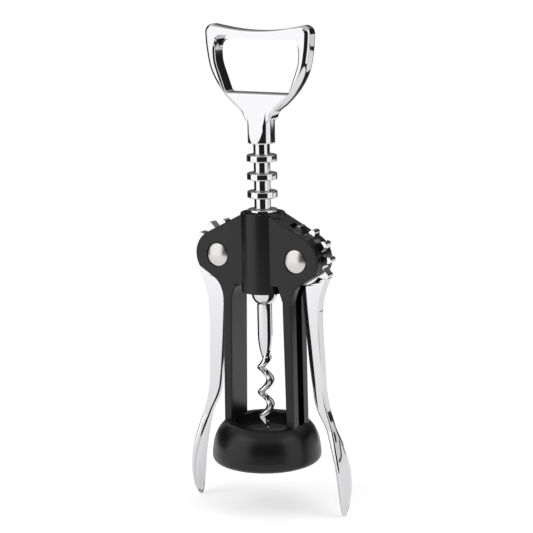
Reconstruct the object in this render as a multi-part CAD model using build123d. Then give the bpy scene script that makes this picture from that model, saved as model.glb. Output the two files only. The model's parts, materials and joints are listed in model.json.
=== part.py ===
from build123d import *
from math import asin, cos, degrees, pi, radians, sin
import os

# Wing corkscrew. Origin: centre of the bell's underside, where it sits on the bottle.
# +Z runs up the screw, X lies along the pair of levers, -Y is the front. Millimetres.
# Rest pose: levers hanging down, rack raised.

# Bell (the ring that sits on the bottle)
BELL_R = 21.7
BELL_H = 16.6
BELL_FOOT_R = 19.4
PASSAGE_R = 12.3
BELL_CAVITY_R = 17.6
SHOULDER_Z = 11.0
SOCKET_R = 15.25
SOCKET_TOP_Z = 8.6

# Frame: tube, cheek plates and legs
TUBE_R = 8.8
TUBE_BORE_R = 7.1
TUBE_BOTTOM_Z = 68.7
TUBE_TOP_Z = 100.1
TUBE_EDGE = 0.5
MOUTH_FLARE = 0.9
CHEEK_TOP_X = 6.4
CHEEK_TOP_Z = TUBE_TOP_Z - 0.6
HALF_DEPTH = 6.2
HALF_SLOT = 2.3
SLOT_OPEN_X = 12.5
SLOT_REACH = 20
EAR_R = 9.9
LEG_INNER_X = 11.4
LEG_OUTER_X = 15.3
LEG_WEB = 2.0
LEG_FOOT_Z = 12.0
LEG_CHANNEL_Z = BELL_H + 2

# Pivots
PIVOT_X = 17.4
PIVOT_Z = 82.7
PIN_R = 2.5
RUNNING = 0.05
HEAD_R = 4.5
HEAD_SEAT_Y = 5.7
HEAD_H = 1.25
HEAD_EDGE_H = 0.35
RECESS_R = 4.85
TENON_R = 1.5
TENON_H = 0.7

# Gear heads and rack: twelve teeth a turn rolling on the rack's pitch line
TEETH_PER_TURN = 12
PITCH_R = 13.5
RING_PITCH = 2 * pi * PITCH_R / TEETH_PER_TURN
TIP_R = 13.4
TOOTH_TIP_R = 1.15
TOOTH_FOOT_R = 8.0
HALF_TOOTH_FOOT = 1.9
ROOT_R = 10.3
TOOTH_COUNT = 8
HALF_GEAR = 2.1
MESH_Z = 82.3
RIGHT_SLACK = 1.7

# Lever arm and paddle
LEVER_TIP = (31.9, -19.0)
PADDLE_TOP_Z = 17.5
ARM_TOP_Z = 80
BEVEL_WIDTH = 3.3
BEVEL_DEPTH = 1.25

# Rack sleeve
RACK_SHAFT_R = 3.2
RING_R = 5.9
RING_H = 2.7
RING_EDGE = 0.5
RING_COUNT = 8
RACK_BORE_R = 2.08
RACK_TOP_Z = 126.85
DOME_R = 4.95
DOME_TIP_Z = 63.7
DOME_TOP_Z = 70.8

# Handle
NECK_R = 5.3
NECK_Z = 126.9
HANDLE_HALF_W = 23.1
HANDLE_TOP_Z = 172.4
HANDLE_DIP_Z = 170.1
HANDLE_CORNER_R = 3.2
HALF_HANDLE = 3.5
SILL_Z = 146.4
WINDOW_TOP_Z = 166.6
LIP_TOP_Z = 168.3
NECK_TOP_Z = 139.5
NECK_FLAT_Z = NECK_Z + 0.7

# Worm
STEM_R = 2.0
STEM_TOP_Z = 136.0
SHANK_R = 2.93
WORM_PITCH = 10.2
WORM_HELIX_R = 1.75
WORM_WIRE_R = 1.7
WORM_TIP_Z = 13.0
WORM_TOP_Z = 45.0
WORM_TIP_ANGLE = 55.0


def turned(points_face):
    """Solid of revolution about Z from a face drawn in the XZ plane."""
    return revolve(points_face, Axis.Z)


def rod(radius, low, high):
    """Plain round bar about Z between two heights."""
    return Pos(0, 0, low) * Cylinder(radius, high - low, align=(Align.CENTER, Align.CENTER, Align.MIN))


def rod_y(radius, x, z, low, high):
    """Round bar along Y at (x, z), from y = low to y = high."""
    bar = Cylinder(radius, high - low, align=(Align.CENTER, Align.CENTER, Align.MIN))
    return Pos(x, low, z) * Rot(-90, 0, 0) * bar


def slab(face, half):
    """A face drawn in the XZ plane, thickened to y = -half .. +half."""
    return extrude(face, amount=half, both=True)


def xz(*points):
    """Points of the XZ plane as 3-D vectors."""
    return [Vector(x, 0, z) for x, z in points]


def polygon_xz(*points):
    return make_face(Polyline(*xz(*points), close=True).edges())


def mirrored(solid):
    """Copy on the other side of the screw, turned half a turn about Z."""
    return Rot(0, 0, 180) * solid


# ---------------------------------------------------------------- frame
def ear_and_leg_face():
    """Front outline of one cheek, its round ear and the leg under it, on the +X side."""
    def on_ear(angle):
        return (PIVOT_X + EAR_R * cos(radians(angle)), PIVOT_Z + EAR_R * sin(radians(angle)))

    shoulder, side, under = xz(on_ear(61), on_ear(15), on_ear(-32))
    top, top_in = xz((CHEEK_TOP_X, CHEEK_TOP_Z), (0, CHEEK_TOP_Z))
    neck_out, neck_mid, leg_top = xz((20.2, 74.0), (16.9, 71.2), (LEG_OUTER_X, 66.0))
    foot_out, foot_in = xz((15.9, LEG_FOOT_Z), (12.4, LEG_FOOT_Z))
    leg_in, web_in, web_mid = xz((LEG_INNER_X, 66.0), (9.3, 72.0), (0, 72.0))
    edges = [
        Line(top_in, top),
        Line(top, shoulder),
        ThreePointArc(shoulder, side, under),
        Line(under, neck_out),
        ThreePointArc(neck_out, neck_mid, leg_top),
        Line(leg_top, foot_out),
        Line(foot_out, foot_in),
        Line(foot_in, leg_in),
        Line(leg_in, web_in),
        Line(web_in, web_mid),
        Line(web_mid, top_in),
    ]
    return make_face(edges)


def gear_slot():
    """Space between the cheeks for one gear head and its swinging arm, on the +X side."""
    chamber = rod_y(TIP_R + 0.5, PIVOT_X, PIVOT_Z, -HALF_SLOT, HALF_SLOT)
    web_x = LEG_OUTER_X - LEG_WEB
    corner = (Align.MIN, Align.CENTER, Align.MIN)
    above = Pos(SLOT_OPEN_X, 0, PIVOT_Z) * Box(SLOT_REACH, 2 * HALF_SLOT, SLOT_REACH, align=corner)
    leg_channel = Pos(web_x, 0, LEG_CHANNEL_Z) * Box(
        SLOT_REACH, 2 * HALF_SLOT, PIVOT_Z - LEG_CHANNEL_Z, align=corner
    )
    return chamber + above + leg_channel


def bell():
    """Domed ring: the crown runs out from the cork passage, the foot turns in under it."""
    rim, rim_out = xz((PASSAGE_R + 0.9, BELL_H), (PASSAGE_R + 1.4, BELL_H))
    widest, low, foot = xz((BELL_R, 4.0), (21.1, 1.1), (BELL_FOOT_R, 0))
    crown = Spline(*xz((PASSAGE_R + 1.4, BELL_H), (16.4, 15.9), (19.2, 13.0), (21.0, 8.6), (BELL_R, 4.0)),
                   tangents=(Vector(1, 0, -0.05), Vector(0, 0, -1)))
    edges = [
        Line(rim, rim_out),
        crown,
        ThreePointArc(widest, low, foot),
        *Polyline(foot, *xz((BELL_CAVITY_R, 0), (BELL_CAVITY_R, SHOULDER_Z), (PASSAGE_R, SHOULDER_Z),
                            (PASSAGE_R, BELL_H - 0.9)), rim).edges(),
    ]
    return turned(make_face(edges))


def make_frame():
    cheek = slab(ear_and_leg_face(), HALF_DEPTH)
    tube = chamfer(rod(TUBE_R, TUBE_BOTTOM_Z, TUBE_TOP_Z).edges().group_by(Axis.Z)[-1], TUBE_EDGE)
    body = tube + cheek + mirrored(cheek)
    # the legs stop inside the bell's wall, clear of the cork passage
    body -= rod(PASSAGE_R, 0, BELL_H)
    body += bell()
    for turn in (0, 180):
        side = Rot(0, 0, turn)
        body -= side * gear_slot()
        body -= side * rod_y(PIN_R, PIVOT_X, PIVOT_Z, -HALF_DEPTH, HALF_DEPTH)
        body -= side * rod_y(RECESS_R, PIVOT_X, PIVOT_Z, -HALF_DEPTH, -HEAD_SEAT_Y)
        body -= side * rod_y(RECESS_R, PIVOT_X, PIVOT_Z, HEAD_SEAT_Y, HALF_DEPTH)
    body -= rod(TUBE_BORE_R, TUBE_BOTTOM_Z - 1, TUBE_TOP_Z + 1)
    mouth = Cone(TUBE_BORE_R, TUBE_BORE_R + MOUTH_FLARE, MOUTH_FLARE,
                 align=(Align.CENTER, Align.CENTER, Align.MAX))
    return body - Pos(0, 0, TUBE_TOP_Z) * mouth


def make_neck_liner():
    """Plastic ring inside the bell that centres the bottle's lip."""
    outline = polygon_xz(
        (BELL_CAVITY_R, 0),
        (BELL_CAVITY_R, SHOULDER_Z),
        (PASSAGE_R, SHOULDER_Z),
        (PASSAGE_R, SOCKET_TOP_Z),
        (SOCKET_R, SOCKET_TOP_Z),
        (SOCKET_R, 0),
    )
    return turned(outline)


# ---------------------------------------------------------------- pivots
def domed_head():
    """Low dome with a short straight edge, its seat at z = 0 and its crown up."""
    rise = HEAD_H - HEAD_EDGE_H
    ball_r = (HEAD_R**2 + rise**2) / (2 * rise)
    blank = rod(HEAD_R, 0, HEAD_H)
    return blank & (Pos(0, 0, HEAD_H - ball_r) * Sphere(ball_r))


def make_pivot_pin(x):
    """Front head, shaft through both cheeks and the gear head, and a thin tenon at the back."""
    head = Pos(x, -HEAD_SEAT_Y, PIVOT_Z) * Rot(90, 0, 0) * domed_head()
    shaft = rod_y(PIN_R, x, PIVOT_Z, -HEAD_SEAT_Y, HEAD_SEAT_Y)
    tenon = rod_y(TENON_R, x, PIVOT_Z, HEAD_SEAT_Y, HEAD_SEAT_Y + TENON_H)
    return head + shaft + tenon


def make_pivot_cap(x):
    """Rear head, pressed over the pin's tenon."""
    head = Pos(x, HEAD_SEAT_Y, PIVOT_Z) * Rot(-90, 0, 0) * domed_head()
    return head - rod_y(TENON_R, x, PIVOT_Z, HEAD_SEAT_Y, HEAD_SEAT_Y + TENON_H)


# ---------------------------------------------------------------- levers
def tooth_face(angle):
    """One finger-shaped tooth with a round tip, pointing at the given angle above +X."""
    centre = TIP_R - TOOTH_TIP_R
    flank = polygon_xz((TOOTH_FOOT_R, -HALF_TOOTH_FOOT), (centre, -TOOTH_TIP_R),
                       (centre, TOOTH_TIP_R), (TOOTH_FOOT_R, HALF_TOOTH_FOOT))
    tip = Pos(centre, 0, 0) * Rot(90, 0, 0) * Circle(TOOTH_TIP_R)
    return Pos(PIVOT_X, 0, PIVOT_Z) * Rot(0, -angle, 0) * (slab(flank, HALF_GEAR) + slab(tip, HALF_GEAR))


def arm_face():
    """Side outline of the arm and paddle: down from the gear head, out past the bell."""
    tip = xz(LEVER_TIP)[0]
    outer = Spline(*xz((29.6, 77.2), (27.0, 71.9), (24.9, 65.3), (24.3, 57.0), (24.8, 42.0),
                       (25.3, 29.0), (27.3, 20.0), (30.9, 10.0), (33.0, 1.6), (33.5, -6.8),
                       (32.9, -13.9)), tip)
    inner = Spline(tip, *xz((31.7, -11.5), (31.1, -4.0), (29.9, 2.1), (27.8, 9.5), (25.1, 17.0),
                            (21.6, 24.0), (20.0, 30.0), (18.6, 44.0), (17.6, 58.0), (16.6, 73.5)))
    closing = Line(inner @ 1, outer @ 0)
    return make_face([outer, inner, closing])


def arm_breadth_face():
    """Front-to-back outline of the arm: slim between the cheeks, leaf-shaped paddle below."""
    half = [(HALF_GEAR, PADDLE_TOP_Z), (2.5, 14.0), (3.6, 9.0), (4.5, 3.4), (5.0, -3.1), (4.9, -8.7),
            (3.9, -13.9), (2.2, -17.1), (0, LEVER_TIP[1])]
    right = Spline(*[Vector(0, y, z) for y, z in half], tangents=(Vector(0, 0, -1), Vector(0, -1, 0)))
    left = mirror(right, Plane.XZ)
    shank = Polyline((0, HALF_GEAR, PADDLE_TOP_Z), (0, HALF_GEAR, ARM_TOP_Z),
                     (0, -HALF_GEAR, ARM_TOP_Z), (0, -HALF_GEAR, PADDLE_TOP_Z))
    return make_face([*shank.edges(), *right.edges(), *left.edges()])


def bevel_wedge():
    """Wedge that slopes one broad side of the arm down to its inner edge."""
    high, low = (19.4, 72.0), (22.9, 24.0)
    def section(x, z):
        deep = (x - 2 * BEVEL_WIDTH, -HALF_GEAR + 2 * BEVEL_DEPTH, z)
        points = [(x, -HALF_GEAR, z), deep, (deep[0], -9, z), (x, -9, z)]
        return make_face(Polyline(*points, close=True).edges())

    return loft([section(*low), section(*high)])


def make_lever_right():
    """Gear head, arm and paddle in one casting, hanging on the +X side."""
    phase = degrees(asin((PIVOT_Z - MESH_Z) / PITCH_R))
    arm = slab(arm_face(), 7) & extrude(arm_breadth_face(), amount=60, dir=(1, 0, 0))
    arm -= bevel_wedge()
    casting = arm + rod_y(ROOT_R, PIVOT_X, PIVOT_Z, -HALF_GEAR, HALF_GEAR)
    for k in range(TOOTH_COUNT):
        casting += tooth_face(phase + (k - 1) * 360 / TEETH_PER_TURN)
    casting -= rod_y(PIN_R + RUNNING, PIVOT_X, PIVOT_Z, -HALF_GEAR, HALF_GEAR)
    return casting


def make_levers():
    """The same casting twice, fitted back to back; the right one hangs slightly open in its play."""
    right = make_lever_right()
    swing = Pos(PIVOT_X, 0, PIVOT_Z) * Rot(0, -RIGHT_SLACK, 0) * Pos(-PIVOT_X, 0, -PIVOT_Z)
    return mirrored(right), swing * right


# ---------------------------------------------------------------- rack and screw
def make_rack():
    """Sleeve with ring-shaped teeth all round, so the levers mesh however it turns."""
    first = MESH_Z - 1.5 * RING_PITCH
    sleeve = rod(RACK_SHAFT_R, DOME_TOP_Z, RACK_TOP_Z)
    for k in range(RING_COUNT):
        z = first + k * RING_PITCH
        tooth = rod(RING_R, z - RING_H / 2, z + RING_H / 2)
        sleeve += fillet(tooth.edges().filter_by(GeomType.CIRCLE), RING_EDGE)
    # below the last ring the sleeve ends in a dome, cut flat where the worm's shank meets it
    centre_z = DOME_TIP_Z + (DOME_R**2 - SHANK_R**2) ** 0.5
    ball = Pos(0, 0, centre_z) * Sphere(DOME_R)
    sleeve += (ball & rod(DOME_R, DOME_TIP_Z, centre_z)) + rod(DOME_R, centre_z, DOME_TOP_Z)
    return sleeve - rod(RACK_BORE_R, DOME_TIP_Z, RACK_TOP_Z)


def make_worm():
    """Forged screw: stem through the rack, thicker shank, tapering into the helix."""
    shoulder = DOME_TIP_Z - RUNNING
    outline = polygon_xz((0, STEM_TOP_Z), (STEM_R, STEM_TOP_Z), (STEM_R, shoulder), (SHANK_R, shoulder),
                         (SHANK_R, 52.0), (2.5, 45.5), (1.0, 39.5), (0, 39.5))
    helix = Helix(pitch=WORM_PITCH, height=WORM_TOP_Z - WORM_TIP_Z, radius=WORM_HELIX_R)
    section = Plane(origin=helix @ 0, z_dir=helix % 0) * Circle(WORM_WIRE_R)
    coil = Pos(0, 0, WORM_TIP_Z) * Rot(0, 0, WORM_TIP_ANGLE) * sweep(section, path=helix, is_frenet=True)
    # the last half turn is ground down to a point
    reach = WORM_HELIX_R + WORM_WIRE_R + 0.2
    envelope = turned(polygon_xz((0, WORM_TIP_Z - 0.4), (1.2, WORM_TIP_Z - 0.4), (reach, WORM_TIP_Z + 5.5),
                                 (reach, WORM_TOP_Z + 2), (0, WORM_TOP_Z + 2)))
    return turned(outline) + (coil & envelope)


def loop_face():
    """Front outline of the handle loop, a D with a slightly hollow top."""
    side_x, top_x = HANDLE_HALF_W, HANDLE_HALF_W - HANDLE_CORNER_R
    top_l, top_m, top_r = xz((-top_x, HANDLE_TOP_Z), (0, HANDLE_DIP_Z), (top_x, HANDLE_TOP_Z))
    half = [(side_x, HANDLE_TOP_Z - HANDLE_CORNER_R), (22.6, 163.0), (20.9, 155.0), (16.9, 148.0), (11.4, 142.2),
            (7.4, 139.3), (NECK_R, 135.5)]
    right = Spline(*xz(*half), tangents=(Vector(0, 0, -1), Vector(0, 0, -1)))
    inset = HANDLE_CORNER_R * (1 - cos(radians(45)))
    bend = ThreePointArc(top_r, *xz((side_x - inset, HANDLE_TOP_Z - inset)), right @ 0)
    left, bend_l = mirror(right, Plane.YZ), mirror(bend, Plane.YZ)
    base = Line(*xz((NECK_R, 135.5), (-NECK_R, 135.5)))
    return make_face([ThreePointArc(top_l, top_m, top_r), bend, right, base,
                      *left.edges(), *bend_l.edges()])


def window_face(top_z, top_radius):
    """Bottle-opener window: round upper corners, sides that lean in, flat sill."""
    upper, middle, sill = (18.4, top_z), (18.1, 158.0), (13.8, SILL_Z)
    face = polygon_xz(upper, middle, sill, (-sill[0], sill[1]), (-middle[0], middle[1]), (-upper[0], upper[1]))
    rows = face.vertices().group_by(Axis.Z)
    face = fillet(rows[-1], top_radius)
    face = fillet(face.vertices().group_by(Axis.Z)[0], 1.5)
    return face


def make_handle():
    """Loop and neck in one casting; the lip that lifts a bottle cap runs along the window's top."""
    loop = slab(loop_face(), HALF_HANDLE)
    window = slab(window_face(WINDOW_TOP_Z, 4.0), HALF_HANDLE + 1)
    pocket = Pos(0, -HALF_HANDLE, 0) * slab(window_face(LIP_TOP_Z, 2.6), HALF_HANDLE + 0.5)
    loop = loop - window - pocket
    neck = rod(NECK_R, NECK_Z, NECK_TOP_Z)
    # front and back of the neck are faced off, flush with the loop above and fading out below
    for side in (-1, 1):
        flat = [(0, side * NECK_R, NECK_FLAT_Z), (0, side * HALF_HANDLE, NECK_TOP_Z),
                (0, side * 9, NECK_TOP_Z), (0, side * 9, NECK_FLAT_Z)]
        face = make_face(Polyline(*flat, close=True).edges())
        neck -= extrude(face, amount=9, dir=(1, 0, 0), both=True)
    blind = rod(STEM_R, NECK_Z, STEM_TOP_Z)
    return loop + neck - blind


def make_parts():
    lever_left, lever_right = make_levers()
    return {
        "frame": make_frame(),
        "neck_liner": make_neck_liner(),
        "rack": make_rack(),
        "worm": make_worm(),
        "handle": make_handle(),
        "lever_left": lever_left,
        "lever_right": lever_right,
        "pivot_pin_left": make_pivot_pin(-PIVOT_X),
        "pivot_pin_right": make_pivot_pin(PIVOT_X),
        "pivot_cap_left": make_pivot_cap(-PIVOT_X),
        "pivot_cap_right": make_pivot_cap(PIVOT_X),
    }


os.makedirs("parts", exist_ok=True)
for name, solid in make_parts().items():
    export_step(solid, f"parts/{name}.step")
    box = solid.bounding_box()
    print(f"{name:18s} {solid.volume:9.1f} mm3  z {box.min.Z:7.2f} .. {box.max.Z:7.2f}")
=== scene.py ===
# %% [markdown]
# # A wing corkscrew in chrome and black
#
# The tool is a black casting (bell, two legs, two cheeks and a tube) that carries a
# bright screw, a ringed rack and two geared levers. Two finishes carry the whole look:
# mirror chrome, which shows nothing but its surroundings, and a satin black coating.
# Mirror chrome needs smooth, dense meshes with true flats and true round edges, so
# every piece is modelled again here at a finer grain, in the place that the CAD part
# gives it. The holes for the pivot pins are not modelled, in the levers or the casting.

# %% The frame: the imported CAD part, and the tools of the lesson
import bpy
import bmesh
import json
from math import acos, atan2, asin, cos, degrees, pi, radians, sin, sqrt
from mathutils import Matrix, Vector


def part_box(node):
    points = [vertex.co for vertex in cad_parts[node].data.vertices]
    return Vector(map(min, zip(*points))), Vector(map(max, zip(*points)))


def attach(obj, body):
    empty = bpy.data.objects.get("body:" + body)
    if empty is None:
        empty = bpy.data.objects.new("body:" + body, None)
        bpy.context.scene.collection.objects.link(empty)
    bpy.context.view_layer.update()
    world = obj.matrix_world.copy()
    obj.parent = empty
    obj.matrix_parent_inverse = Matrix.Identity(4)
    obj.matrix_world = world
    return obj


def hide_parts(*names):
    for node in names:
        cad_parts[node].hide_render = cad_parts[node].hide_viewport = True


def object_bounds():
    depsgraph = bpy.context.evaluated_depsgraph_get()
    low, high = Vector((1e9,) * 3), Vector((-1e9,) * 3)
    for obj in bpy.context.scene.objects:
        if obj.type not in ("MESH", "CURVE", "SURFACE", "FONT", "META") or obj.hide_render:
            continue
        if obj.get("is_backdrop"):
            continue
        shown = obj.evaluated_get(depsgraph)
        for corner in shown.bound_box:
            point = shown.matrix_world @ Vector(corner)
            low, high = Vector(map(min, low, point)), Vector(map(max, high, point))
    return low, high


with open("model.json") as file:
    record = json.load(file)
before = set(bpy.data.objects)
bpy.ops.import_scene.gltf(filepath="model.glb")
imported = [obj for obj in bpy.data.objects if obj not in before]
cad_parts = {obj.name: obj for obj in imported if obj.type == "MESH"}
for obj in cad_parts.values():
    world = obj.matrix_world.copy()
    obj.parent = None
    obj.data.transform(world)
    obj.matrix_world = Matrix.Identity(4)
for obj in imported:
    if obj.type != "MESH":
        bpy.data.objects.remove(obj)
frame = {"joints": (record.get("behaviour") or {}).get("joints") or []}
CAD_LOW, CAD_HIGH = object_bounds()
MM = 0.001
print("CAD box, mm:", [round(v / MM, 1) for v in (*CAD_LOW, *CAD_HIGH)])

# %% [markdown]
# ## Sizes
#
# Lengths are in millimetres, as on the maker's drawing, and become metres when a mesh
# is placed. The pivots come from the part's own joints, so nothing can drift apart.

# %% Driving sizes
PIVOT = {joint["child"]: Vector(joint["pos_m"]) / MM
         for joint in frame["joints"] if joint["child"].startswith("lever")}
PIVOT_X = PIVOT["lever_right"].x
PIVOT_Z = PIVOT["lever_right"].z
HALF_DEPTH = 6.2
HALF_SLOT = 2.3
TUBE_R = 8.8
TUBE_BORE_R = 7.1
TUBE_TOP_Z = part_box("frame")[1].z / MM
TUBE_BOTTOM_Z = 68.7
BELL_H = 16.6
PASSAGE_R = 12.3
TEETH_PER_TURN = 12
PITCH_R = 13.5
TIP_R = 13.4
ROOT_R = 10.3
HALF_GEAR = 2.1
PIN_R = 2.5
MESH_Z = 82.3
RIGHT_SLACK = 1.7
RING_PITCH = 2 * pi * PITCH_R / TEETH_PER_TURN
RACK_TOP_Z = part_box("rack")[1].z / MM
NECK_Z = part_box("handle")[0].z / MM
print("pivots at", PIVOT_X, PIVOT_Z, "ring pitch", round(RING_PITCH, 3))

# %% [markdown]
# ## Drawing helpers
#
# A drawing is a list of points. Round stretches come from an arc or from a curve
# through a few points, so the drawing itself stays short.


# %% Arcs and curves
def arc(centre, radius, start, stop, steps):
    """Points of a circular arc, angles in degrees."""
    turns = [radians(start + (stop - start) * k / steps) for k in range(steps + 1)]
    return [(centre[0] + radius * cos(t), centre[1] + radius * sin(t)) for t in turns]


def curve_through(points, per_span=8):
    """Catmull-Rom curve through the points, evenly cut in each span."""
    ends = [points[0]] + list(points) + [points[-1]]
    out = []
    for k in range(len(points) - 1):
        a, b, c, d = (Vector(p) for p in ends[k:k + 4])
        for step in range(per_span):
            t = step / per_span
            p = 0.5 * (2 * b + (c - a) * t + (2 * a - 5 * b + 4 * c - d) * t**2
                       + (3 * b - a - 3 * c + d) * t**3)
            out.append((p.x, p.y))
    return out + [tuple(points[-1])]


def height_of(table, x):
    """Smooth value at x read from a short table of (x, value) pairs, rising in x."""
    samples = curve_through(table, 12)
    for (x0, y0), (x1, y1) in zip(samples, samples[1:]):
        if x <= x1:
            return y0 + (y1 - y0) * max(0.0, x - x0) / max(x1 - x0, 1e-9)
    return samples[-1][1]


def rounded(points, radii, steps=6):
    """Closed polygon with each corner rounded by its own radius."""
    out = []
    count = len(points)
    for k, radius in enumerate(radii):
        before, corner, after = (Vector(points[(k + s) % count]) for s in (-1, 0, 1))
        if radius <= 0:
            out.append(tuple(corner))
            continue
        u, v = (before - corner).normalized(), (after - corner).normalized()
        half = acos(max(-1.0, min(1.0, u.dot(v)))) / 2
        centre = corner + (u + v).normalized() * radius / sin(half)
        slope = sin(half) / cos(half)
        first, last = corner + u * radius / slope, corner + v * radius / slope
        a0 = atan2(first.y - centre.y, first.x - centre.x)
        a1 = atan2(last.y - centre.y, last.x - centre.x)
        sweep = (a1 - a0 + pi) % (2 * pi) - pi
        for s in range(steps + 1):
            a = a0 + sweep * s / steps
            out.append((centre.x + radius * cos(a), centre.y + radius * sin(a)))
    return out


# %% [markdown]
# ## Bench helpers
#
# Each helper is one habit of the modelling bench: start from a primitive, shape it in
# edit mode, and turn its normals outward. A lathe spins a profile,
# a plate thickens an outline, and a cut takes one closed shape out of another.


# %% Lathe, plate, cut and join
def edit(obj):
    bpy.ops.object.select_all(action="DESELECT")
    obj.select_set(True)
    bpy.context.view_layer.objects.active = obj
    bpy.ops.object.mode_set(mode="EDIT")


def done():
    bpy.ops.object.mode_set(mode="OBJECT")
    return bpy.context.active_object


def tidy_mesh(obj, gap=1e-7):
    """Merges doubles and turns every face outwards."""
    edit(obj)
    bpy.ops.mesh.select_all(action="SELECT")
    bpy.ops.mesh.remove_doubles(threshold=gap)
    bpy.ops.mesh.normals_make_consistent(inside=False)
    return done()


def apply(obj, kind, **settings):
    """Adds one modifier, sets it and applies it."""
    bpy.ops.object.select_all(action="DESELECT")
    obj.select_set(True)
    bpy.context.view_layer.objects.active = obj
    modifier = obj.modifiers.new(kind.lower(), kind)
    for key, value in settings.items():
        setattr(modifier, key, value)
    bpy.ops.object.modifier_apply(modifier=modifier.name)
    return obj


def new_ring(name, count, fill="NOTHING"):
    """A circle primitive whose points will be set one by one."""
    bpy.ops.object.select_all(action="DESELECT")
    bpy.ops.mesh.primitive_circle_add(vertices=count, radius=MM, fill_type=fill)
    ring = bpy.context.active_object
    ring.name = name
    return ring


def lathe(name, profile, steps=96):
    """Spins a profile of (radius, z) points about Z. Points on the axis close into poles."""
    obj = new_ring(name, 3)
    edit(obj)
    mesh = bmesh.from_edit_mesh(obj.data)
    bmesh.ops.delete(mesh, geom=mesh.verts[1:], context="VERTS")
    mesh.verts.ensure_lookup_table()
    mesh.verts[0].co = Vector((profile[0][0], 0, profile[0][1])) * MM
    mesh.verts[0].select = True
    bmesh.update_edit_mesh(obj.data)
    for (r0, z0), (r1, z1) in zip(profile, profile[1:]):
        step = Vector((r1 - r0, 0, z1 - z0)) * MM
        bpy.ops.mesh.extrude_region_move(TRANSFORM_OT_translate={"value": step})
    bpy.ops.mesh.select_all(action="SELECT")
    bpy.ops.mesh.spin(steps=steps, angle=2 * pi, center=(0, 0, 0), axis=(0, 0, 1))
    done()
    return tidy_mesh(obj)


def plate(name, outline, low_y, high_y):
    """Thickens a closed XZ outline from y = low_y to y = high_y."""
    obj = new_ring(name, len(outline), "NGON")
    for vertex, (x, z) in zip(obj.data.vertices, outline):
        vertex.co = Vector((x, low_y, z)) * MM
    edit(obj)
    bpy.ops.mesh.select_all(action="SELECT")
    depth = (0, (high_y - low_y) * MM, 0)
    bpy.ops.mesh.extrude_region_move(TRANSFORM_OT_translate={"value": depth})
    done()
    return tidy_mesh(obj)


def loft(name, rings):
    """Joins rings of (x, y, z) points, one after the other, with a flat face at each end."""
    obj = new_ring(name, len(rings[0]), "NGON")
    for vertex, point in zip(obj.data.vertices, rings[0]):
        vertex.co = Vector(point) * MM
    edit(obj)
    bpy.ops.mesh.select_all(action="SELECT")
    for ring in rings[1:]:
        bpy.ops.mesh.extrude_region_move(TRANSFORM_OT_translate={"value": (0, 0, 0.1 * MM)})
        mesh = bmesh.from_edit_mesh(obj.data)
        newest = sorted((v for v in mesh.verts if v.select), key=lambda v: v.index)
        for vertex, point in zip(newest, ring):
            vertex.co = Vector(point) * MM
        bmesh.update_edit_mesh(obj.data)
    done()
    return tidy_mesh(obj)


def block(name, low, high):
    """A box between two corners, in millimetres."""
    bpy.ops.object.select_all(action="DESELECT")
    bpy.ops.mesh.primitive_cube_add(size=1)
    obj = bpy.context.active_object
    obj.name = name
    low, high = Vector(low), Vector(high)
    for vertex in obj.data.vertices:
        vertex.co = Vector([(low[i] if vertex.co[i] < 0 else high[i]) * MM for i in range(3)])
    return obj


def rod_y(name, x, z, radius, low_y, high_y, steps=64):
    return plate(name, arc((x, z), radius, 0, 360 - 360 / steps, steps - 1), low_y, high_y)


def combine(obj, tool, operation):
    """Boolean of obj with tool, which is used up."""
    apply(obj, "BOOLEAN", object=tool, operation=operation, solver="EXACT")
    bpy.data.objects.remove(tool)
    return obj


def cut(obj, *tools):
    for tool in tools:
        combine(obj, tool, "DIFFERENCE")
    return obj


def weld(obj, *tools):
    for tool in tools:
        combine(obj, tool, "UNION")
    return obj


def soften(obj, width, segments=3, angle=40):
    """Rounds every edge sharper than angle."""
    return apply(obj, "BEVEL", width=width * MM, segments=segments, limit_method="ANGLE",
                 angle_limit=radians(angle), use_clamp_overlap=True)


def polish(obj, angle=35):
    """Smooth shading that keeps true flats flat: the largest faces set the normals."""
    bpy.ops.object.select_all(action="DESELECT")
    obj.select_set(True)
    bpy.context.view_layer.objects.active = obj
    bpy.ops.object.shade_smooth_by_angle(angle=radians(angle))
    return apply(obj, "WEIGHTED_NORMAL", keep_sharp=True, weight=50)


# %% [markdown]
# ## The casting
#
# Cheeks, ears and legs share one flat outline, so they start as one thick plate. Its rim
# is rounded first, while it is still simple, and then the gear slots, the leg channels
# and the bore are cut, as the casting's cores would leave them.


# %% Cheek outline, drawn on the right and mirrored
EAR_R = 9.9
ear = arc((PIVOT_X, PIVOT_Z), EAR_R, 61, -32, 24)
waist = curve_through([(20.2, 74.0), (18.2, 72.6), (16.6, 70.4), (15.6, 67.6), (15.3, 65.0)], 5)
LEG_FOOT_Z = 12.0
right_side = [(6.4, TUBE_TOP_Z - 0.6)] + ear + waist + [(15.9, LEG_FOOT_Z), (12.4, LEG_FOOT_Z),
                                                       (11.4, 66.0), (9.3, 72.0)]
cheek_outline = right_side + [(-x, z) for x, z in reversed(right_side)]
casting = plate("casting", cheek_outline, -HALF_DEPTH, HALF_DEPTH)
soften(casting, 0.55, 3, 50)
print("cheek plate faces", len(casting.data.polygons))

# %% Slots for the gear heads, open outwards for the arms, and the channels of the legs
LEG_CHANNEL_X = 13.3
SLOT_OPEN_X = 12.5
BEYOND_X = 40
CHAMBER_R = TIP_R + 0.5
for side in (-1, 1):
    chamber = rod_y("chamber", side * PIVOT_X, PIVOT_Z, CHAMBER_R, -HALF_SLOT, HALF_SLOT, 96)
    xs = sorted((side * SLOT_OPEN_X, side * BEYOND_X))
    above = block("above", (xs[0], -HALF_SLOT, PIVOT_Z), (xs[1], HALF_SLOT, PIVOT_Z + 20))
    xs = sorted((side * LEG_CHANNEL_X, side * BEYOND_X))
    channel = block("channel", (xs[0], -HALF_SLOT, 10), (xs[1], HALF_SLOT, PIVOT_Z))
    cut(casting, chamber, above, channel)

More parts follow.
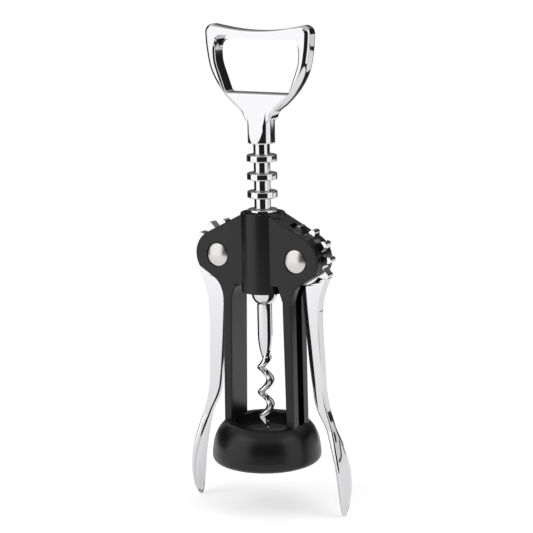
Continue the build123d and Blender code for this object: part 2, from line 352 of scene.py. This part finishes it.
# %% [markdown]
# The tube stands proud of the cheeks, front and back, with a small bevel at its mouth.

# %% Tube
tube = lathe("tube", [(0, TUBE_BOTTOM_Z), (TUBE_R, TUBE_BOTTOM_Z), (TUBE_R, TUBE_TOP_Z - 0.5),
                      (TUBE_R - 0.15, TUBE_TOP_Z - 0.15), (TUBE_R - 0.5, TUBE_TOP_Z), (0, TUBE_TOP_Z)])
for side in (-1, 1):
    tube = cut(tube, rod_y("chamber", side * PIVOT_X, PIVOT_Z, CHAMBER_R, -HALF_SLOT, HALF_SLOT, 96))
weld(casting, tube)
bore = lathe("bore", [(0, TUBE_BOTTOM_Z - 2), (TUBE_BORE_R, TUBE_BOTTOM_Z - 2),
                      (TUBE_BORE_R, TUBE_TOP_Z - 0.9), (TUBE_BORE_R + 1.0, TUBE_TOP_Z + 0.1),
                      (0, TUBE_TOP_Z + 0.1)])
cut(casting, bore)

# %% [markdown]
# The bell is a turned shape: a crown that rolls out of the cork passage, and a foot that
# tucks in under the widest point.

# %% Bell
BELL_R = 21.7
CAVITY_R = 17.6
CAVITY_TOP_Z = 11.0
crown = curve_through([(PASSAGE_R + 1.4, BELL_H), (16.4, 15.9), (19.2, 13.0), (20.9, 8.9),
                       (BELL_R, 4.0)], 8)
foot = arc((19.4, 2.5), 2.3, 15, -75, 6)
foot = [(BELL_R, 3.2)] + [(r, max(z, 0.2)) for r, z in foot[1:]] + [(19.4, 0.0)]
inside = [(CAVITY_R, 0), (CAVITY_R, CAVITY_TOP_Z), (PASSAGE_R, CAVITY_TOP_Z), (PASSAGE_R, BELL_H - 0.9),
          (PASSAGE_R + 0.3, BELL_H - 0.25), (PASSAGE_R + 0.9, BELL_H)]
bell_profile = crown + foot + inside
bell = lathe("bell", bell_profile + [bell_profile[0]], 128)
passage = [(0, 0), (PASSAGE_R, 0), (PASSAGE_R, BELL_H + 0.5), (0, BELL_H + 0.5)]
cut(casting, lathe("passage", passage, 128))
weld(casting, bell)

# %% Recesses for the pins' heads
RECESS_R = 4.85
HEAD_SEAT_Y = 5.7
for side in (-1, 1):
    for face in (-1, 1):
        ys = sorted((face * HEAD_SEAT_Y, face * (HALF_DEPTH + 1)))
        cut(casting, rod_y("recess", side * PIVOT_X, PIVOT_Z, RECESS_R, ys[0], ys[1]))
tidy_mesh(casting, 2e-6)
polish(casting)
print("casting faces", len(casting.data.polygons))

# %% [markdown]
# The liner inside the bell is a plain plastic ring with a step for the bottle's lip.

# %% Liner
LINER_R = 17.55
LINER_TOP_Z = 10.95
SOCKET_R = 15.25
SOCKET_TOP_Z = 8.6
liner = lathe("liner", [(LINER_R, 0.0), (LINER_R, LINER_TOP_Z), (PASSAGE_R, LINER_TOP_Z),
                        (PASSAGE_R, 8.9), (PASSAGE_R + 0.3, SOCKET_TOP_Z), (SOCKET_R, SOCKET_TOP_Z),
                        (SOCKET_R, 0.4), (15.65, 0.0), (LINER_R, 0.0)])
polish(liner)

# %% [markdown]
# ## Pins
#
# Each pivot is a pin with a low domed head in front and a matching head behind. The dome
# is an arc on the lathe. It is turned about Z and then laid over to face the viewer.

# %% Pin heads
HEAD_R = 4.5
HEAD_H = 1.25
HEAD_EDGE_H = 0.35


def pin_head(name, x, face, shaft):
    """A domed head on the front (face -1) or the back (1), with a shaft of that length."""
    rise = HEAD_H - HEAD_EDGE_H
    ball_r = (HEAD_R**2 + rise**2) / (2 * rise)
    spread = degrees(asin(HEAD_R / ball_r))
    dome = arc((0, HEAD_H - ball_r), ball_r, 90 - spread * 0.94, 90, 12)
    edge = [(HEAD_R - 0.12, 0), (HEAD_R, 0.1), (HEAD_R, HEAD_EDGE_H - 0.12),
            (HEAD_R - 0.06, HEAD_EDGE_H)]
    inner = [(0, -shaft), (PIN_R, -shaft), (PIN_R, 0)] if shaft else [(0, 0)]
    head = lathe(name, inner + edge + dome, 64)
    turn = Matrix.Rotation(radians(90), 4, "X") if face < 0 else Matrix.Rotation(radians(-90), 4, "X")
    place = Matrix.Translation(Vector((x, face * HEAD_SEAT_Y, PIVOT_Z)) * MM)
    head.data.transform(place @ turn)
    return polish(tidy_mesh(head))


pins = {}
for word, side in (("left", -1), ("right", 1)):
    pins[f"pivot_pin_{word}"] = pin_head(f"pin_{word}", side * PIVOT_X, -1, 2 * HEAD_SEAT_Y - 0.05)
    pins[f"pivot_cap_{word}"] = pin_head(f"cap_{word}", side * PIVOT_X, 1, 0)

# %% [markdown]
# ## Rack
#
# The rack's teeth are rings, so they mesh with the gear heads whichever way it is turned.
# One profile holds the shaft, eight rings with rounded edges and the domed lower end.

# %% Rack sleeve
RACK_SHAFT_R = 3.2
RACK_BORE_R = 2.08
RING_R = 5.9
RING_H = 2.7
RING_EDGE = 0.5
RING_COUNT = 8
RINGS_BELOW = 1.5
ROOT_EDGE = 0.25
DOME_R = 4.95
DOME_TIP_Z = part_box("rack")[0].z / MM
SHANK_R = 2.93
dome_centre_z = DOME_TIP_Z + sqrt(DOME_R**2 - SHANK_R**2)
profile = [(RACK_BORE_R, DOME_TIP_Z)]
profile += arc((0, dome_centre_z), DOME_R, -degrees(acos(SHANK_R / DOME_R)), 0, 12)
profile += [(DOME_R, MESH_Z - RINGS_BELOW * RING_PITCH - RING_H / 2)]
for k in range(RING_COUNT):
    z = MESH_Z + (k - RINGS_BELOW) * RING_PITCH
    low, high = z - RING_H / 2 + RING_EDGE, z + RING_H / 2 - RING_EDGE
    if k:
        profile += [(RACK_SHAFT_R, z - RING_H / 2 - ROOT_EDGE),
                    (RACK_SHAFT_R + ROOT_EDGE, z - RING_H / 2)]
    profile += arc((RING_R - RING_EDGE, low), RING_EDGE, -90, 0, 4)
    profile += arc((RING_R - RING_EDGE, high), RING_EDGE, 0, 90, 4)
    profile += [(RACK_SHAFT_R + ROOT_EDGE, z + RING_H / 2), (RACK_SHAFT_R, z + RING_H / 2 + ROOT_EDGE)]
profile += [(RACK_SHAFT_R, RACK_TOP_Z), (RACK_BORE_R, RACK_TOP_Z), (RACK_BORE_R, DOME_TIP_Z)]
rack = polish(lathe("rack_sleeve", profile, 96))
print("rack faces", len(rack.data.polygons))

# %% [markdown]
# ## Worm
#
# The worm is one forged bar: a straight shank that tapers into a wire wound about the
# axis. The wire is a small ring of points, extruded step by step and turned a little at
# each step, and it thins to a point over its last half turn.

# %% Worm
WORM_PITCH = 10.2
WORM_HELIX_R = 1.75
WORM_WIRE_R = 1.7
WORM_TIP_Z = 13.0
WORM_TOP_Z = 46.0
WORM_TIP_ANGLE = 55.0
WORM_STEPS_PER_TURN = 40
TIP_FADE = 5.5
TOP_FADE = 9.0
STEM_R = 2.0
STEM_TOP_Z = 136.0
SHANK_END_Z = 51.0


def wire_ring(z):
    """Turn, distance from the axis and radius of the wire at height z."""
    angle = radians(WORM_TIP_ANGLE + 360 * (z - WORM_TIP_Z) / WORM_PITCH)
    tip = min(1.0, max(0.0, (z - WORM_TIP_Z) / TIP_FADE))
    top = min(1.0, max(0.0, (WORM_TOP_Z - z) / TOP_FADE))
    offset = WORM_HELIX_R * (0.25 + 0.75 * tip ** 0.8) * (top * top * (3 - 2 * top))
    radius = WORM_WIRE_R * sqrt(max(tip, 0.0)) * 0.98 + 0.02
    return angle, offset, radius


stem = [(0, STEM_TOP_Z), (STEM_R, STEM_TOP_Z), (STEM_R, DOME_TIP_Z - 0.05),
        (SHANK_R - 0.2, DOME_TIP_Z - 0.05), (SHANK_R, DOME_TIP_Z - 0.25), (SHANK_R, SHANK_END_Z)]
taper = curve_through([(SHANK_R, SHANK_END_Z), (2.85, 49.0), (2.55, 46.5), (2.0, 44.0), (1.2, 41.5),
                       (0.0, 40.5)], 5)
shank = lathe("worm", stem + taper[1:], 64)
RING_POINTS = 28


def wire_points(z):
    """Level ring of (x, y, z) points round the wire at height z."""
    angle, offset, radius = wire_ring(z)
    lead = WORM_PITCH / (2 * pi * max(offset, 0.6))
    tilt = sqrt(1 + 0.12 * lead * lead)
    points = []
    for k in range(RING_POINTS):
        t = 2 * pi * k / RING_POINTS
        u, v = radius * cos(t), radius * tilt * sin(t)
        points.append(((offset + u) * cos(angle) - v * sin(angle),
                       (offset + u) * sin(angle) + v * cos(angle), z))
    return points


steps = int((WORM_TOP_Z - WORM_TIP_Z) / WORM_PITCH * WORM_STEPS_PER_TURN)
wire_zs = [WORM_TIP_Z + (WORM_TOP_Z - WORM_TIP_Z) * k / steps for k in range(steps + 1)]
wire = loft("wire", [wire_points(z) for z in wire_zs])
worm = polish(weld(shank, wire), 50)
print("worm faces", len(worm.data.polygons))

# %% [markdown]
# ## Handle
#
# The handle is a flat D-shaped loop with well rounded edges, growing out of a round neck.
# Its outer edges are rounded as it is lofted, slimmer towards the neck, and the neck is
# joined on. The window's cutter is flared, so it rounds the window's edges as it cuts.
# The lip that lifts a bottle cap is the back half of the window's top edge.

# %% Handle loop
HALF_HANDLE = 3.5
HANDLE_HALF_W = 23.1
HANDLE_TOP_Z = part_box("handle")[1].z / MM
HANDLE_DIP = 2.3
HANDLE_DIP_Z = HANDLE_TOP_Z - HANDLE_DIP
HANDLE_CORNER_R = 3.2
NECK_R = 5.3
dip_half = HANDLE_HALF_W - HANDLE_CORNER_R
dip_r = (dip_half**2 + HANDLE_DIP**2) / (2 * HANDLE_DIP)
dip_spread = degrees(asin(dip_half / dip_r))
dip = arc((0, HANDLE_DIP_Z + dip_r), dip_r, 270, 270 + dip_spread, 16)
corner = arc((dip_half, HANDLE_TOP_Z - HANDLE_CORNER_R), HANDLE_CORNER_R, 84, 4, 10)
side = curve_through([(HANDLE_HALF_W, 169.0), (22.6, 163.0), (20.9, 155.0), (16.9, 148.0),
                      (11.4, 142.2), (7.4, 139.3), (NECK_R + 0.35, 136.6)], 9)
LOOP_FOOT_Z = 135.0
right_half = dip + corner + side + [(NECK_R - 1.2, LOOP_FOOT_Z)]
outline = right_half + [(-x, z) for x, z in reversed(right_half[1:])]
RIM_R = 2.1
SILL_R = 1.1


def drawn_in(points, distances):
    """Each point of a clockwise outline moved inwards, square to the outline."""
    count = len(points)
    out = []
    for k, distance in enumerate(distances):
        before, here, after = (Vector(points[(k + s) % count]) for s in (-1, 0, 1))
        u, v = (here - before).normalized(), (after - here).normalized()
        normals = Vector((u.y, -u.x)), Vector((v.y, -v.x))
        out.append(here + (normals[0] + normals[1]) * distance / (1 + normals[0].dot(normals[1])))
    return out


def rim_round(x, z):
    """Radius of the outer edge: full on the sides, slim along the hollow top and at the neck."""
    away = max(0.0, (abs(x) - 15.0) / 7.0)
    low = min(1.0, max(0.2, (z - LOOP_FOOT_Z) / 6.0))
    return RIM_R * low * (1.0 if z < 164 else min(1.0, 0.45 + 0.55 * away))


def edge_rings(points, radii, inward, steps=8):
    """Rings from the handle's front face to its back, drawn in (1) or out (-1) at both."""
    rings = []
    for face in (-1, 1):
        for k in range(steps + 1):
            t = pi / 2 * (k if face > 0 else steps - k) / steps
            moved = drawn_in(points, [inward * r * (1 - cos(t)) for r in radii])
            rings.append([(p.x, face * (HALF_HANDLE - r + r * sin(t)), p.y)
                          for p, r in zip(moved, radii)])
    return rings


loop = loft("handle", edge_rings(outline, [rim_round(x, z) for x, z in outline], 1))

# %% Window, bottle-cap lip and neck
SILL_Z = 146.4
WINDOW_TOP_Z = 166.6
LIP_TOP_Z = 168.3
NECK_TOP_Z = 139.5
BEYOND_NECK = 9


def window(top_z, top_r):
    corners = [(18.4, top_z), (18.1, 158.0), (13.8, SILL_Z),
               (-13.8, SILL_Z), (-18.1, 158.0), (-18.4, top_z)]
    return rounded(corners, [top_r, 12.0, 1.5, 1.5, 12.0, top_r], 7)


def flared_window(points, radius):
    """Cutter for the window that also rounds its front and back edges."""
    rings = edge_rings(points, [radius] * len(points), -1)
    for end, face in ((0, -1), (-1, 1)):
        beyond = [(x, face * (HALF_HANDLE + 1), z) for x, y, z in rings[end]]
        rings.insert(0 if face < 0 else len(rings), beyond)
    return loft("window", rings)


neck = lathe("neck", [(0, NECK_Z), (NECK_R - 0.45, NECK_Z), (NECK_R - 0.12, NECK_Z + 0.15),
                      (NECK_R, NECK_Z + 0.5), (NECK_R, NECK_TOP_Z), (0, NECK_TOP_Z)], 96)
for face in (-1, 1):
    flat = [(face * (NECK_R + 0.02), NECK_Z + 0.7), (face * (HALF_HANDLE - 0.05), NECK_TOP_Z + 0.1),
            (face * BEYOND_NECK, NECK_TOP_Z + 0.1), (face * BEYOND_NECK, NECK_Z + 0.7)]
    wedge = plate("wedge", flat, -BEYOND_NECK, BEYOND_NECK)
    wedge.data.transform(Matrix.Rotation(radians(90), 4, "Z"))
    cut(neck, wedge)
weld(loop, neck)
tidy_mesh(loop, 2e-6)
cut(loop, flared_window(window(WINDOW_TOP_Z, 4.0), SILL_R))
cut(loop, plate("pocket", window(LIP_TOP_Z, 2.6), -HALF_HANDLE - 1, 0.5))
tidy_mesh(loop, 2e-6)
soften(loop, 0.35, 3, 50)
handle = polish(loop)
print("handle faces", len(handle.data.polygons))

# %% [markdown]
# ## Levers
#
# A lever is a leaf-shaped paddle, a slim arm and a toothed head in one casting. The arm is
# lofted: a rounded ring of points is extruded from the tip upwards and placed at each
# height from three short tables, for its outer edge, inner edge and breadth.

# %% Lever arm
TIP_Z = -19.0
ARM_TOP_Z = 77.2
OUTER_EDGE = [(TIP_Z, 31.9), (-13.9, 32.9), (-6.8, 33.5), (1.6, 33.0), (10.0, 30.9), (20.0, 27.3),
              (29.0, 25.3), (42.0, 24.8), (57.0, 24.3), (65.3, 24.9), (71.9, 27.0), (ARM_TOP_Z, 29.6)]
INNER_EDGE = [(TIP_Z, 31.9), (-11.5, 31.7), (-4.0, 31.1), (2.1, 29.9), (9.5, 27.8), (17.0, 25.1),
              (24.0, 21.6), (30.0, 20.0), (44.0, 18.6), (58.0, 17.6), (73.5, 16.6), (ARM_TOP_Z, 16.5)]
HALF_BREADTH = [(TIP_Z, 0.05), (-18.6, 0.95), (-17.1, 2.2), (-13.9, 3.9), (-8.7, 4.9), (-3.1, 5.0),
                (3.4, 4.5), (9.0, 3.6), (14.0, 2.5), (17.5, 2.1), (40.0, 2.1), (ARM_TOP_Z, 2.1)]
ARRIS = [(22.0, 23.1), (30.0, 22.3), (50.0, 20.9), (60.0, 20.1), (72.0, 19.4)]
CORNER_STEPS = 6
SPREAD = (-0.8, -0.5, -0.2, 0.2, 0.5, 0.8)


def lever_section(z):
    """Ring of (x, y) points of the arm at height z, front at -Y."""
    outer, inner, half = (height_of(t, z) for t in (OUTER_EDGE, INNER_EDGE, HALF_BREADTH))
    outer = max(outer, inner + 0.3)
    sink = 1.25 * min(1.0, max(0.0, (z - 23.0) / 8.0)) * min(1.0, max(0.0, (74.0 - z) / 2.0))
    arris = min(max(height_of(ARRIS, z), inner + 0.8), outer - 0.8)
    paddle = min(1.0, max(0.0, (19.0 - z) / 12.0))
    edge = min(0.6 + 0.3 * paddle, 0.36 * (outer - inner), 0.42 * half)
    flare = min(1.0, max(0.0, (36.0 - z) / 12.0))
    inner_edge = min(edge + 0.3 * flare, 0.4 * (2 * half - sink), 0.4 * (outer - inner))
    back_edge = min(edge + 1.0 * flare, 0.6 * (outer - inner - edge), 0.5 * half)
    crown = 0.55 * paddle
    outer -= crown
    hollow = 0.3 * paddle

    def bend(centre_x, centre_y, start, radius):
        return arc((centre_x, centre_y), radius, start, start + 90, CORNER_STEPS)

    ring = bend(outer - edge, half - edge, 0, edge)
    ring += bend(inner + back_edge, half - back_edge, 90, back_edge)
    low_y, high_y = -half + sink + inner_edge, half - back_edge
    ring += [(inner + hollow * (1 - s * s), (low_y + high_y) / 2 + s * (high_y - low_y) / 2)
             for s in SPREAD[::-1]]
    ring += bend(inner + inner_edge, -half + sink + inner_edge, 180, inner_edge)
    ring += [(arris - 0.12, -half + sink * 0.05), (arris + 0.12, -half)]
    ring += bend(outer - edge, -half + edge, 270, edge)
    ring += [(outer + crown * (1 - s * s), s * (half - edge)) for s in SPREAD]
    return ring


def lever_stations():
    """Heights of the arm's rings, close together at the tip."""
    near_tip = [TIP_Z + 0.9 * (k / 8) ** 2 for k in range(1, 9)]
    above = [TIP_Z + 0.9 + 1.1 * k for k in range(1, 88)]
    return [z for z in near_tip + above if z <= ARM_TOP_Z]


def lever_arm():
    return loft("arm", [[(x, y, z) for x, y in lever_section(z)] for z in lever_stations()])


# %% [markdown]
# The head's outline is worked out tooth by tooth: finger-shaped teeth with round tips on
# the side that meets the rack, and a plain round where the arm leaves. The head has no
# hole for its pin, and the mesh has open or shared edges at the paddle's tip and where
# the head joins the arm, so it is not a closed solid.


# %% Lever head
def head_outline():
    phase = degrees(asin((PIVOT_Z - MESH_Z) / PITCH_R))
    tip_r = 1.2
    root_half = 1.9
    points = []
    for k in range(-1, 7):
        middle = phase + k * 360 / TEETH_PER_TURN
        u = Vector((cos(radians(middle)), sin(radians(middle))))
        v = Vector((-u.y, u.x))
        centre = Vector((PIVOT_X, PIVOT_Z))
        root = sqrt((ROOT_R - 0.3)**2 - root_half**2)
        points.append(centre + u * root - v * root_half)
        points.append(centre + u * (root + 0.7) - v * (root_half - 0.18))
        for s in range(13):
            t = radians(-90 + 180 * s / 12)
            points.append(centre + u * (TIP_R - tip_r + tip_r * cos(t)) + v * tip_r * sin(t))
        points.append(centre + u * (root + 0.7) + v * (root_half - 0.18))
        points.append(centre + u * root + v * root_half)
        if k < 6:
            gap = middle + 180 / TEETH_PER_TURN
            for s in (-1, 0, 1):
                a = radians(gap + 2.5 * s)
                points.append(centre + Vector((cos(a), sin(a))) * (ROOT_R - 0.3))
    start = phase + 6 * 360 / TEETH_PER_TURN + 15
    tail = [(start + (331.7 - 11 - start) * s / 15) for s in range(16)]
    points += [Vector((PIVOT_X, PIVOT_Z)) + Vector((cos(radians(a)), sin(radians(a)))) * (ROOT_R - 0.3)
               for a in tail]
    return [tuple(p) for p in points]


head = soften(plate("head", head_outline(), -HALF_GEAR, HALF_GEAR), 0.4, 3, 50)
lever = weld(lever_arm(), head)
tidy_mesh(lever, 2e-6)
print("lever faces", len(lever.data.polygons))


# %% The pair: one casting, fitted back to back, the right one hanging open by its play
def copy_of(obj, name, matrix):
    twin = obj.copy()
    twin.data = obj.data.copy()
    twin.name = name
    bpy.context.scene.collection.objects.link(twin)
    twin.data.transform(matrix)
    return twin


pivot = Vector((PIVOT_X, 0, PIVOT_Z)) * MM
slack = Matrix.Rotation(radians(-RIGHT_SLACK), 4, "Y")
swing = Matrix.Translation(pivot) @ slack @ Matrix.Translation(-pivot)
lever_right = polish(copy_of(lever, "lever_arm_right", swing), 20)
lever_left = polish(copy_of(lever, "lever_arm_left", Matrix.Rotation(pi, 4, "Z")), 20)
bpy.data.objects.remove(lever)

# %% [markdown]
# ## Materials
#
# Shader maths is easier to read as plain expressions, so a small class wraps a socket and
# turns + - * into Math nodes. Every other node comes from one method.


# %% The shader bench
class Sock:
    def __init__(self, tree, socket):
        self.tree = tree
        self.socket = socket

    def math(self, operation, a, b=None):
        node = self.tree.nodes.new("ShaderNodeMath")
        node.operation = operation
        for slot, value in zip(node.inputs, (a, b)):
            if isinstance(value, Sock):
                self.tree.links.new(value.socket, slot)
            elif value is not None:
                slot.default_value = value
        return Sock(self.tree, node.outputs[0])

    def __add__(self, other):
        return self.math("ADD", self, other)

    def __sub__(self, other):
        return self.math("SUBTRACT", self, other)

    def __mul__(self, other):
        return self.math("MULTIPLY", self, other)

    def __rsub__(self, other):
        return self.math("SUBTRACT", other, self)

    __radd__ = __add__
    __rmul__ = __mul__


class Finish:
    """A material with its Principled shader and a way to add nodes."""

    def __init__(self, name, **settings):
        self.material = bpy.data.materials.new(name)
        self.material.use_nodes = True
        self.tree = self.material.node_tree
        self.shader = self.tree.nodes["Principled BSDF"]
        for key, value in settings.items():
            self.shader.inputs[key.replace("_", " ").title().replace("Ior", "IOR")].default_value = value

    def node(self, kind, output=0, settings=None, **sockets):
        made = self.tree.nodes.new(kind)
        for key, value in (settings or {}).items():
            setattr(made, key, value)
        for key, value in sockets.items():
            slot = made.inputs[key.replace("_", " ")]
            if isinstance(value, Sock):
                self.tree.links.new(value.socket, slot)
            else:
                slot.default_value = value
        return Sock(self.tree, made.outputs[output])

    def place(self):
        """Object coordinates in millimetres."""
        coords = self.node("ShaderNodeTexCoord", "Object")
        return self.node("ShaderNodeVectorMath", 0, {"operation": "SCALE"}, Vector=coords, Scale=1 / MM)

    def feed(self, socket, value):
        self.tree.links.new(value.socket, self.shader.inputs[socket])


def noise(finish, place, scale, detail=3.0):
    return finish.node("ShaderNodeTexNoise", 0, None, Vector=place, Scale=scale, Detail=detail)


# %% Chrome: a mirror with the faint unevenness of plate over a casting
def chrome_finish():
    f = Finish("mirror_chrome", metallic=1.0, roughness=0.06, base_color=(0.62, 0.62, 0.63, 1))
    p = f.place()
    f.feed("Roughness", noise(f, p, 0.35) * 0.05 + 0.03)
    ripple = f.node("ShaderNodeBump", 0, None, Strength=0.05, Distance=0.02 * MM,
                    Height=noise(f, p, 0.16, 2.0))
    f.feed("Normal", ripple)
    return f.material


# %% Black coating: satin, with a very fine mottle
def coat_finish():
    f = Finish("black_satin_coat", roughness=0.3, base_color=(0.004, 0.004, 0.0045, 1))
    f.shader.inputs["Specular IOR Level"].default_value = 0.33
    p = f.place()
    grain = noise(f, p, 3.2, 4.0)
    f.feed("Roughness", noise(f, p, 0.5) * 0.1 + 0.25)
    f.feed("Normal", f.node("ShaderNodeBump", 0, None, Strength=0.25, Distance=0.03 * MM, Height=grain))
    return f.material


def nickel_finish():
    f = Finish("satin_nickel", metallic=1.0, roughness=0.25, base_color=(0.56, 0.55, 0.54, 1))
    p = f.place()
    f.feed("Roughness", noise(f, p, 1.4) * 0.12 + 0.18)
    return f.material


def plastic_finish():
    f = Finish("black_plastic", roughness=0.5, base_color=(0.02, 0.02, 0.02, 1))
    p = f.place()
    f.feed("Roughness", noise(f, p, 0.8) * 0.15 + 0.42)
    return f.material


chrome, coat, nickel, plastic = chrome_finish(), coat_finish(), nickel_finish(), plastic_finish()

# %% [markdown]
# ## Assembly
#
# Each piece gets its finish and rides on the body that carries it, and the CAD node it
# was modelled from is hidden.

# %% Finishes, bodies and nodes
pieces = [
    (casting, coat, "frame", "frame", "black_body"),
    (liner, plastic, "frame", "neck_liner", "liner_plastic"),
    (rack, chrome, "rack", "rack", "chrome_plate"),
    (worm, chrome, "screw", "worm", "chrome_plate"),
    (handle, chrome, "screw", "handle", "chrome_plate"),
    (lever_left, chrome, "lever_left", "lever_left", "chrome_plate"),
    (lever_right, chrome, "lever_right", "lever_right", "chrome_plate"),
]
pieces += [(head, nickel, "frame", node, "pin_nickel") for node, head in pins.items()]
for piece, finish, body, node, slot in pieces:
    piece.data.materials.clear()
    piece.data.materials.append(finish)
    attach(piece, body)
    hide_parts(node)
    print(piece.name, len(piece.data.polygons))

# %% [markdown]
# ## Studio
#
# A white floor, a dark room and four soft panels, with a dark strip between the two behind
# on the right. The camera stands a little to the right and above, with a long lens.

# %% Floor: a small white table, lit from within as a light table is
FLOOR_R = 0.39
FLOOR_CENTRE = (-0.0285, -0.106)
bpy.ops.object.select_all(action="DESELECT")
bpy.ops.mesh.primitive_circle_add(vertices=96, radius=FLOOR_R, fill_type="NGON",
                                  location=(*FLOOR_CENTRE, CAD_LOW.z))
floor = bpy.context.active_object
floor.name = "floor"
f = Finish("floor_white", roughness=0.9, base_color=(0.9, 0.9, 0.9, 1))
f.shader.inputs["Emission Color"].default_value = (1, 1, 1, 1)
f.shader.inputs["Emission Strength"].default_value = 0.45
floor.data.materials.append(f.material)
floor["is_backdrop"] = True

# %% [markdown]
# The room beyond the table is dark, with a pale ceiling and one faint wall behind. The
# camera is shown plain white there instead, so only reflections and light meet the room.

# %% Room
BACK_AZIMUTH = 210
world = bpy.data.worlds.new("studio")
bpy.context.scene.world = world
world.use_nodes = True
room = world.node_tree
backdrop = room.nodes["Background"]
coords = Sock(room, room.nodes.new("ShaderNodeTexCoord").outputs["Generated"])
wall = room.nodes.new("ShaderNodeVectorMath")
wall.operation = "DOT_PRODUCT"
wall.inputs[1].default_value = (sin(radians(BACK_AZIMUTH)), -cos(radians(BACK_AZIMUTH)), 0)
room.links.new(coords.socket, wall.inputs[0])
height = room.nodes.new("ShaderNodeSeparateXYZ")
room.links.new(coords.socket, height.inputs[0])


def ramp(value, low, high, bottom, top):
    """Smooth step of value from bottom to top as it goes from low to high."""
    node = room.nodes.new("ShaderNodeMapRange")
    node.interpolation_type = "SMOOTHSTEP"
    for name, number in (("From Min", low), ("From Max", high), ("To Min", bottom), ("To Max", top)):
        node.inputs[name].default_value = number
    room.links.new(value.socket, node.inputs["Value"])
    return Sock(room, node.outputs[0])


back_wall = ramp(Sock(room, wall.outputs["Value"]), 0.6, 0.95, 0.0, 0.12)
ceiling = ramp(Sock(room, height.outputs["Z"]), 0.4, 0.75, 0.0, 0.75)
seen = Sock(room, room.nodes.new("ShaderNodeLightPath").outputs["Is Camera Ray"])
glow = (back_wall + ceiling + 0.02) * (1 - seen) + seen
room.links.new(glow.socket, backdrop.inputs["Strength"])
backdrop.inputs["Color"].default_value = (1, 1, 1, 1)


# %% Softboxes: upright panels beyond the table's edge, hidden from the camera
def softbox(name, azimuth, distance, width, height, lift, radiance):
    """An upright panel facing the tool. Azimuth 0 is in front, positive to the right."""
    data = bpy.data.lights.new(name, "AREA")
    data.shape = "RECTANGLE"
    data.size, data.size_y = width, height
    data.energy = radiance * pi * width * height
    obj = bpy.data.objects.new(name, data)
    bpy.context.scene.collection.objects.link(obj)
    a = radians(azimuth)
    obj.location = (distance * sin(a), -distance * cos(a), CAD_LOW.z + lift + height / 2)
    obj.rotation_euler = (pi / 2, 0, a)
    obj.visible_camera = False
    return obj


softbox("left_box", -36, 0.58, 0.6, 0.9, -0.1, 1.5)
softbox("right_box", 90, 0.58, 0.44, 0.8, -0.06, 1.3)
softbox("back_right_box_low", 137, 0.58, 0.46, 0.143, -0.09, 1.05)
softbox("back_right_box_high", 137, 0.58, 0.46, 0.065, 0.08, 0.9)

# %% Camera
AZIMUTH = radians(30.14)
ELEVATION = radians(11.36)
ROLL = radians(-1.05)
DISTANCE = 0.7005
FOCAL_PER_WIDTH = 3.3622
back = Vector((sin(AZIMUTH) * cos(ELEVATION), -cos(AZIMUTH) * cos(ELEVATION), sin(ELEVATION)))
right = Vector((cos(AZIMUTH), sin(AZIMUTH), 0))
up = back.cross(right)
aim = Vector((0, 0, 0.0783)) + right * 0.00105
camera_data = bpy.data.cameras.new("camera")
camera_data.sensor_width = 36
camera_data.lens = 36 * FOCAL_PER_WIDTH
camera_data.clip_start = 0.01
camera = bpy.data.objects.new("camera", camera_data)
bpy.context.scene.collection.objects.link(camera)
camera.matrix_world = Matrix.Translation(aim + back * DISTANCE) @ (
    Matrix((right, up, back)).transposed().to_4x4() @ Matrix.Rotation(ROLL, 4, "Z"))
bpy.context.scene.camera = camera
bpy.context.scene.view_settings.view_transform = "Standard"

# %% Size of the finished model against the CAD box
low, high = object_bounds()
print("visual box, mm:", [round(v / MM, 1) for v in (*low, *high)])
